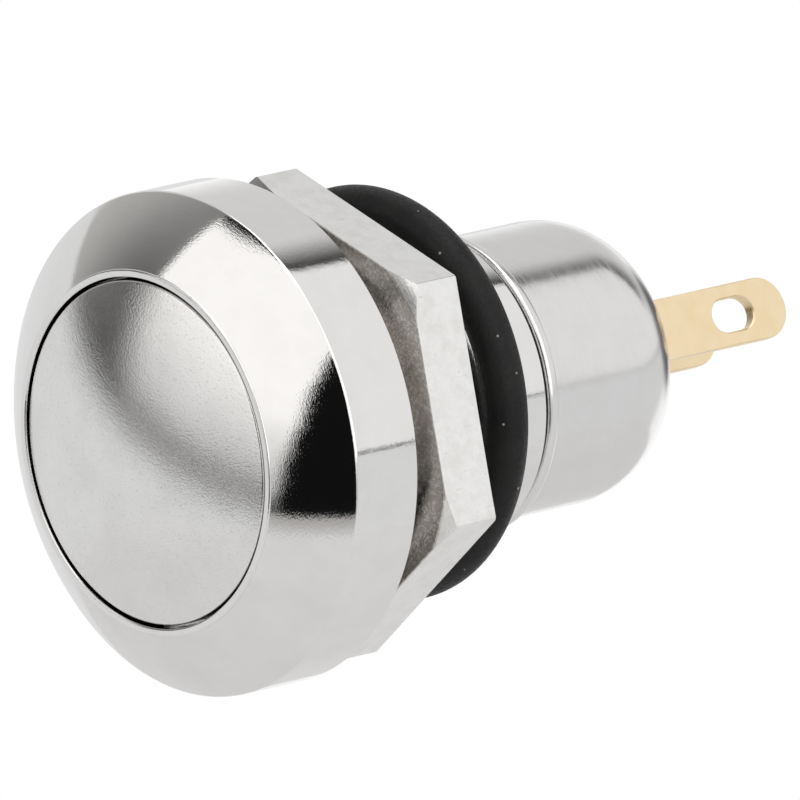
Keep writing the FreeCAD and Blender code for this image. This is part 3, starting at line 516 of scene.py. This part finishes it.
def gasket_outline():
    """The gasket's section between the bush and the cup's bead, with its outer edges eased."""
    front, rear = BUSH_REAR + GASKET_GAP, CUP_FRONT - GASKET_GAP
    return dense(rounded([
        (GASKET_BORE, front), (GASKET_RADIUS, front, GASKET_EASE),
        (GASKET_RADIUS, rear, GASKET_EASE), (GASKET_BORE, rear),
    ]), GASKET_STEP, closed=True)


ring_outline = arc((RING_CENTRE_RADIUS, RING_PLACE), RING_SECTION, 0.0, 360.0, 49)[:-1]
lathe("bezel_and_bush", bezel_outline(), HEAD_NICKEL, "housing", ["bezel_bush"],
      wobble=cut_thread)
lathe("domed_button", button_outline(), SATIN, "button", ["button_cap"], poles=True)
lathe("domed_cup", cup_outline(), CUP_NICKEL, "housing", ["rear_cup"])
lathe("panel_ring", ring_outline, RING_RUBBER, "panel_ring", ["panel_o_ring"],
      shift=RING_SHIFT)
lathe("pressed_gasket", gasket_outline(), SEAL_RUBBER, "housing", ["body_gasket"],
      wobble=pressed_edge)


# The hex nut
def nut_angles(half_flat, ease):
    """Angles, close together round each corner, and the outline's distance from the axis at each of them.
    Flats are straight lines, and a corner is an arc of radius ease that touches both flats."""
    corner_centre = (half_flat - ease) / math.cos(math.pi / 6)
    limit = math.atan2(ease / 2, corner_centre + ease * math.cos(math.pi / 6))
    along_flat = np.linspace(limit, math.pi / 3 - limit, 42)[1:-1]
    sector = np.concatenate([np.linspace(-limit, limit, 7), along_flat])
    away = np.minimum(np.abs(sector), math.pi / 3 - sector)
    left_over = ease ** 2 - (corner_centre * np.sin(away)) ** 2
    on_corner = corner_centre * np.cos(away) + np.sqrt(np.maximum(left_over, 0))
    reach = np.where(away < limit, on_corner, half_flat / np.cos(math.pi / 6 - away))
    theta = NUT_TURN + (np.arange(6) * math.pi / 3)[:, None] + sector
    return theta.ravel(), np.tile(reach, 6)


def hex_nut():
    """A nut as rows that go round its section: threaded bore, front face, chamfer, flats and rear face.
    The bore is the thread, the tail's clearance or the mouth's 45 degree cone, whichever is widest, and the
    chamfer is a cone, so its place grows with the outline's distance from the axis."""
    theta, reach = nut_angles(NUT_FLAT, NUT_CORNER_ROUND)
    rear_chamfer, front_ease = 0.08, 0.04
    y = np.linspace(NUT_REAR, NUT_FRONT, 61)
    from_face = np.minimum(y - NUT_FRONT, NUT_REAR - y)[:, None]
    depth = thread_depth(y[:, None], theta[None, :], -math.inf, math.inf)
    thread = THREAD_CREST - (THREAD_CREST - THREAD_ROOT) * depth
    clearance, inner_crest = 0.05, TAIL_RADIUS + 0.05
    bore = np.maximum(np.maximum(thread + clearance, inner_crest), NUT_BORE + NUT_MOUTH - from_face)
    rows, places = [bore], [np.broadcast_to(y[:, None], bore.shape)]
    for r, place in (
        (np.minimum(reach - front_ease, NUT_CONE_START), np.full_like(reach, NUT_FRONT)),
        (reach, NUT_FRONT + np.maximum(reach - NUT_CONE_START, front_ease) * math.tan(NUT_CHAMFER)),
        (reach, np.full_like(reach, NUT_REAR - rear_chamfer)),
        (reach - rear_chamfer, np.full_like(reach, NUT_REAR)),
    ):
        rows.append(r[None])
        places.append(place[None])
    r, place = np.vstack(rows), np.vstack(places)
    faces = grid_faces(len(r), len(theta), True).tolist()
    return finish_mesh("milled_nut", turned(r, place, theta), faces, NUT_PLATE, "nut", ["hex_nut"],
                       sharp=14.0)


hex_nut()


# The solder terminals
def ray_to_round_end(angle, half_width, centre, far_square):
    """Distance along rays at these angles from the origin to a strip's sides and its two ends.
    The round end is a half circle about (0, centre). The square end lies at far_square, or there is none."""
    w, y = np.sin(angle), np.cos(angle)
    sides = half_width / np.maximum(np.abs(w), 1e-9)
    circle = centre * y + np.sqrt(np.maximum(half_width ** 2 - (centre * w) ** 2, 0.0))
    out = np.where(sides * y > centre, circle, sides)
    if far_square is not None:
        out = np.where(y < 0, np.minimum(out, far_square / np.maximum(-y, 1e-9)), out)
    return out


def solder_terminal(name, node, side):
    """A stamped blade with a round end and an oblong eye, as eight rows round its section, and a square foot.
    Each row runs round the eye's centre, and its points lie on rays, at the eye or at the blade's edge."""
    edge = BLADE_HALF_WIDTH
    tip = BLADE_REAR - edge - EYE_PLACE
    back = EYE_PLACE - BLADE_FRONT
    corner = math.atan2(edge, -back)
    half = np.concatenate([np.linspace(0, corner, 60, endpoint=False), np.linspace(corner, math.pi, 20)])
    angle = np.concatenate([half, math.tau - half[-2:0:-1]])
    straight = (EYE_LENGTH - EYE_WIDTH) / 2
    folded = np.where(np.cos(angle) < 0, math.pi - angle, angle)
    eye = ray_to_round_end(folded, EYE_WIDTH / 2, straight, None)
    outer = ray_to_round_end(angle, edge, tip, back)
    h, ease = BLADE_THICKNESS / 2, BLADE_EASE
    rows = ((eye, ease - h), (eye + ease, -h), (outer - ease, -h), (outer, ease - h),
            (outer, h - ease), (outer - ease, h), (eye + ease, h), (eye, h - ease))
    reach = np.stack([row[0] for row in rows])
    across = np.broadcast_to(np.array([row[1] for row in rows])[:, None], reach.shape)
    width, place = reach * np.sin(angle), EYE_PLACE + reach * np.cos(angle)
    faces = grid_faces(len(rows), len(angle), True).tolist()
    local = np.stack([BLADE_PLACE + across, width, place], -1).reshape(-1, 3)
    foot_across = (BLADE_PLACE + h - ease, FOOT_REACH)
    foot_along = (BLADE_FRONT, BLADE_FRONT + BLADE_THICKNESS)
    box = np.stack(np.meshgrid(foot_across, (-edge, edge), foot_along, indexing="ij"), -1).reshape(-1, 3)
    sides = ((0, 1, 3, 2), (4, 6, 7, 5), (0, 4, 5, 1), (2, 3, 7, 6), (0, 2, 6, 4), (1, 5, 7, 3))
    faces += (np.array(sides) + len(local)).tolist()
    local = np.vstack([local, box])
    out = np.array([math.cos(TERMINAL_TURN), 0.0, math.sin(TERMINAL_TURN)]) * side
    along = np.array([-math.sin(TERMINAL_TURN), 0.0, math.cos(TERMINAL_TURN)]) * side
    verts = local[:, :1] * out + local[:, 1:2] * along + local[:, 2:] * np.array([0.0, 1.0, 0.0])
    return finish_mesh(name, verts, faces, GOLD, "housing", [node])


solder_terminal("solder_blade_right", "terminal_right", 1)
solder_terminal("solder_blade_left", "terminal_left", -1)


# Pieces whose solids already have the real shape keep them, with the finish of the real thing
CAD_FINISHES = {
    "contact_bridge": BRASS,
    "bridge_tip_right": SILVER, "bridge_tip_left": SILVER,
    "fixed_tip_right": SILVER, "fixed_tip_left": SILVER,
    "return_spring": SPRING_STEEL, "contact_spring": SPRING_STEEL, "retaining_clip": SPRING_STEEL,
    "button_seal": SEAL_RUBBER,
    "plunger": PLASTIC, "contact_housing": PLASTIC, "terminal_base": PLASTIC,
    "potting_seal": RESIN,
}
for node, finish in CAD_FINISHES.items():
    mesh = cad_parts[node].data
    mesh.materials.clear()
    mesh.materials.append(finish)


# The studio: a floor, a white tent round the object with a few dark cards, and the camera
FLOOR_DEPTH, FLOOR_RADIUS = 0.06, 0.11
TENT_RADIUS, TENT_END, TENT_ROWS, STAGE_SEGMENTS = 0.6, 88.0, 60, 96
TABLE_TILT, TABLE_TOWARD, LEVEL_DROP = math.radians(22.7), math.radians(25.0), 1.7

# Directions on the tent, in degrees. Of four edges, a light or card fades in over two and out over two.
FRONT_AROUND, FRONT_OVER = (-60.0, -44.0, 54.0, 62.0), (3.0, 31.0)
RIGHT_CENTRE, RIGHT_AROUND = 130.0, (-60.0, -40.0, 48.0, 60.0)
LEFT_REAR_CENTRE, LEFT_REAR_AROUND, LEFT_REAR_HEIGHT = -138.0, (-30.0, -18.0, 14.0, 26.0), (-6.0, 24.0)
LAMP_HEIGHT = (60.0, 70.0)
GLINT_AROUND, GLINT_HEIGHT = (60.0, 70.0, 106.0, 114.0), (-12.0, 0.0)
OVERHEAD_AROUND, OVERHEAD_TOP = (-76.0, -66.0, 2.0, 8.0), (72.0, 78.0)
OVERHEAD_SLOPE, OVERHEAD_EDGE = -0.15, -55.6
BEHIND_CENTRE, BEHIND_AROUND, BEHIND_HEIGHT = 176.0, (-0.7, 0.7, 1.0, 24.0), (8.0, 22.0, 60.0, 74.0)
LEFT_AROUND, LEFT_FADE, LEFT_HEIGHT = (-100.0, -92.0, -46.5, -45.0), (-94.0, -50.0), (14.0, 46.0)
CORNER_SLOPE, CORNER_RAGGED, CORNER_EDGE = -0.38, 8.0, -23.4
CORNER_RIGHT, CORNER_TOP = (46.0, 48.0), (27.0, 31.0)
LEVEL_CENTRE, LEVEL_AROUND = -30.0, (86.0, 106.0)
SEAM_LINE, SEAM_AROUND = (-0.6, 0.6, 3.0, 7.5), (-78.0, -66.0, 6.0, 16.0)
THIN_LINE, THIN_AROUND = (-0.45, -0.2, 0.3, 0.6), (100.0, 110.0)
TABLE_LINE, TABLE_OVER, NEAR_CAMERA_AROUND = (-0.6, 0.3), (-9.0, 0.0), (-10.0, 14.0, 60.0, 90.0)
LOW_LEFT_OVAL, LOW_BEHIND_OVAL = (-160.0, -31.0, 30.0, 20.0), (-166.0, -3.0, 17.0, 15.0)


def floor_material():
    """Pale card with a faint cloudiness."""
    material, nodes, shader, coords = surface("studio_floor")
    cloud = nodes.noise(coords, 30.0, 3.0)
    card = nodes.mix(nodes.span(cloud, 0.3, 0.7), (0.76, 0.76, 0.76, 1), (0.79, 0.79, 0.79, 1))
    nodes.link(card, shader.inputs["Base Color"])
    shader.inputs["Roughness"].default_value = 0.9
    return material


def grey(level, warm=0.0):
    """A grey of this level, with a little more red and less blue where it is warm."""
    return (level * (1 + warm), level, level * (1 - warm), 1)


class Tent(Nodes):
    """The tent's nodes and its directions in degrees: around is an angle round Z from the button's side
    towards +X, height is above the level, and over is above the table, whose far edge is tilted."""

    def __init__(self, tree):
        super().__init__(tree)
        self.coords = self.add("ShaderNodeTexCoord").outputs["Object"]
        unit = self.add("ShaderNodeVectorMath", operation="NORMALIZE")
        self.link(self.coords, unit.inputs[0])
        split = self.add("ShaderNodeSeparateXYZ")
        self.link(unit.outputs[0], split.inputs[0])
        x, y, z = split.outputs
        self.around = self.in_degrees(self.math("ARCTAN2", x, self.math("MULTIPLY", y, -1.0)))
        self.height = self.in_degrees(self.math("ARCSINE", z))
        rise = self.add("ShaderNodeVectorMath", operation="DOT_PRODUCT")
        self.link(unit.outputs[0], rise.inputs[0])
        slope = math.sin(TABLE_TILT)
        table_up = (math.sin(TABLE_TOWARD) * slope, -math.cos(TABLE_TOWARD) * slope, math.cos(TABLE_TILT))
        rise.inputs[1].default_value = table_up
        self.over = self.in_degrees(self.math("ARCSINE", rise.outputs["Value"]))

    def in_degrees(self, angle):
        return self.math("MULTIPLY", angle, math.degrees(1.0))

    def turn_from(self, centre):
        """The turn from a direction, in degrees, between -180 and 180."""
        turn = self.math("WRAP", self.math("SUBTRACT", self.around, centre), 180.0)
        turn.node.inputs[2].default_value = -180.0
        return turn

    def oval(self, centre_around, centre_height, half_around, half_height):
        """How far a direction lies from a centre, in the oval's own half widths."""
        u = self.math("DIVIDE", self.turn_from(centre_around), half_around)
        v = self.math("DIVIDE", self.math("SUBTRACT", self.height, centre_height), half_height)
        return self.math("SQRT", self.math("ADD", self.math("MULTIPLY", u, u), self.math("MULTIPLY", v, v)))

    def product(self, *masks):
        """All the masks multiplied."""
        out = masks[0]
        for mask in masks[1:]:
            out = self.math("MULTIPLY", out, mask)
        return out

    def window(self, value, edges):
        """A mask that grows from 0 to 1 over the first two edges and falls back over the last two."""
        return self.product(self.span(value, *edges[:2]), self.span(value, *edges[2:], 1.0, 0.0))


def pale_cloth(tent):
    """The cloth's light: dimmer low in front, lighter on the right, a gradient behind on the left, a lamp
    overhead and a glint low on the right."""
    front = tent.mix(tent.span(tent.over, *FRONT_OVER, smooth=False), grey(0.52), grey(1.16, 0.012))
    cloth = tent.mix(tent.window(tent.around, FRONT_AROUND), grey(0.78), front)
    cloth = tent.mix(tent.window(tent.turn_from(RIGHT_CENTRE), RIGHT_AROUND), cloth, grey(0.93))
    left_rear = tent.mix(tent.span(tent.height, *LEFT_REAR_HEIGHT), grey(1.16), grey(0.74))
    cloth = tent.mix(tent.window(tent.turn_from(LEFT_REAR_CENTRE), LEFT_REAR_AROUND), cloth, left_rear)
    cloth = tent.mix(tent.span(tent.height, *LAMP_HEIGHT), cloth, grey(2.1))
    glint = tent.product(tent.window(tent.around, GLINT_AROUND), tent.span(tent.height, *GLINT_HEIGHT))
    return tent.mix(glint, cloth, grey(1.6))


def dark_cards(tent, cloth):
    """The dark cards and openings that the polished metal shows, and last the dark place of the camera."""
    slant = tent.total((1.0, tent.height), (OVERHEAD_SLOPE, tent.around), OVERHEAD_EDGE)
    overhead = tent.product(tent.span(slant, -1.0, 1.0), tent.span(tent.height, *OVERHEAD_TOP, 1.0, 0.0),
                            tent.window(tent.around, OVERHEAD_AROUND))
    cloth = tent.mix(overhead, cloth, grey(0.02))
    behind = tent.product(tent.window(tent.turn_from(BEHIND_CENTRE), BEHIND_AROUND),
                          tent.window(tent.height, BEHIND_HEIGHT))
    cloth = tent.mix(behind, cloth, grey(0.05, 0.02))
    left = tent.mix(tent.span(tent.around, *LEFT_FADE), grey(0.50, 0.02), grey(0.11, 0.02))
    left = tent.mix(tent.span(tent.height, *LEFT_HEIGHT, 0.0, 0.3), left, grey(0.62, 0.02))
    cloth = tent.mix(tent.window(tent.around, LEFT_AROUND), cloth, left)
    streak = tent.noise(tent.coords, 1.0, 3.0, 0.6, stretch=(60.0, 60.0, 9.0))
    slant = tent.total((1.0, tent.around), (CORNER_SLOPE, tent.height), (CORNER_RAGGED, streak), CORNER_EDGE)
    corner = tent.product(tent.span(slant, -1.2, 1.2), tent.span(tent.around, *CORNER_RIGHT, 1.0, 0.0),
                          tent.span(tent.height, *CORNER_TOP, 1.0, 0.0))
    return tent.mix(corner, cloth, grey(0.006))


def table_edge(tent, cloth):
    """The table: its far edge is a tilted line in front and a level one at the right and behind."""
    level = tent.span(tent.math("ABSOLUTE", tent.turn_from(LEVEL_CENTRE)), *LEVEL_AROUND)
    tilted_line = tent.math("MULTIPLY", tent.over, tent.math("SUBTRACT", 1.0, level))
    level_line = tent.math("MULTIPLY", tent.math("ADD", tent.height, LEVEL_DROP), level)
    line = tent.math("ADD", tilted_line, level_line)
    seam = tent.product(tent.window(line, SEAM_LINE), tent.window(tent.around, SEAM_AROUND))
    cloth = tent.mix(seam, cloth, grey(0.03, 0.03))
    table = tent.mix(tent.span(tent.over, *TABLE_OVER), grey(0.78, -0.006), grey(0.42, 0.03))
    table = tent.mix(tent.window(tent.around, NEAR_CAMERA_AROUND), grey(0.80, -0.006), table)
    table = tent.mix(tent.span(tent.oval(*LOW_LEFT_OVAL), 0.8, 1.1, 1.0, 0.0), table, grey(1.14))
    cloth = tent.mix(tent.span(line, *TABLE_LINE), table, cloth)
    thin = tent.product(tent.window(line, THIN_LINE), tent.span(tent.around, *THIN_AROUND))
    cloth = tent.mix(thin, cloth, grey(0.02, 0.03))
    return tent.mix(tent.span(tent.oval(*LOW_BEHIND_OVAL), 0.6, 1.1, 1.0, 0.0), cloth, grey(0.12, 0.05))


def tent_material():
    """White cloth whose brightness follows the direction, with the dark cards and the table on it."""
    material = bpy.data.materials.new("studio_tent")
    material.use_nodes = True
    tent = Tent(material.node_tree)
    cloth = table_edge(tent, dark_cards(tent, pale_cloth(tent)))
    light = tent.add("ShaderNodeEmission")
    tent.link(cloth, light.inputs["Color"])
    output = tent.add("ShaderNodeOutputMaterial")
    tent.link(light.outputs[0], output.inputs["Surface"])
    return material


def stage_mesh(name, verts, faces, material):
    """Make a piece of the studio, which belongs to no body."""
    mesh = bpy.data.meshes.new(name)
    mesh.from_pydata(verts, [], faces)
    mesh.materials.append(material)
    obj = bpy.data.objects.new(name, mesh)
    bpy.context.collection.objects.link(obj)
    return obj


stage_theta = np.linspace(0, math.tau, STAGE_SEGMENTS, endpoint=False)
floor_x, floor_y = FLOOR_RADIUS * np.cos(stage_theta), FLOOR_RADIUS * np.sin(stage_theta)
disc = np.stack([floor_x, floor_y, np.full(STAGE_SEGMENTS, -FLOOR_DEPTH)], 1)
stage_mesh("studio_floor", disc, [list(range(STAGE_SEGMENTS))], floor_material())

polar = np.radians(np.linspace(-TENT_END, TENT_END, TENT_ROWS))[:, None]
tent_points = turned(TENT_RADIUS * np.cos(polar), TENT_RADIUS * np.sin(polar), stage_theta)
last_row = (TENT_ROWS - 1) * STAGE_SEGMENTS
tent_ends = [list(range(STAGE_SEGMENTS)), list(range(last_row, last_row + STAGE_SEGMENTS))]
tent_faces = grid_faces(TENT_ROWS, STAGE_SEGMENTS, False).tolist() + tent_ends
studio_tent = stage_mesh("studio_tent", tent_points, tent_faces, tent_material())
studio_tent.visible_camera = False

world = bpy.data.worlds.new("studio_world")
bpy.context.scene.world = world
world.use_nodes = True
background = world.node_tree.nodes["Background"]
background.inputs["Color"].default_value = (1, 1, 1, 1)
background.inputs["Strength"].default_value = 1.0

AZIMUTH, ELEVATION = math.radians(47.5), math.radians(14.2)
VIEW_WIDTH = 27.68 * MM
TARGET_RIGHT, TARGET_UP = 5.311, 1.048
LENS, SENSOR = 1200.0, 36.0
right = Vector((math.cos(AZIMUTH), math.sin(AZIMUTH), 0))
rise = math.sin(ELEVATION)
up = Vector((-rise * math.sin(AZIMUTH), rise * math.cos(AZIMUTH), math.cos(ELEVATION)))
back = right.cross(up)
camera_data = bpy.data.cameras.new("photo_camera")
camera_data.lens = LENS
camera_data.sensor_width = SENSOR
camera_data.clip_start = 0.1
camera_data.clip_end = 10.0
camera = bpy.data.objects.new("photo_camera", camera_data)
camera.location = (right * TARGET_RIGHT + up * TARGET_UP) * MM + back * (VIEW_WIDTH * LENS / SENSOR)
camera.rotation_euler = back.to_track_quat("Z", "Y").to_euler()
bpy.context.collection.objects.link(camera)
bpy.context.scene.camera = camera
bpy.context.scene.view_settings.view_transform = "Standard"
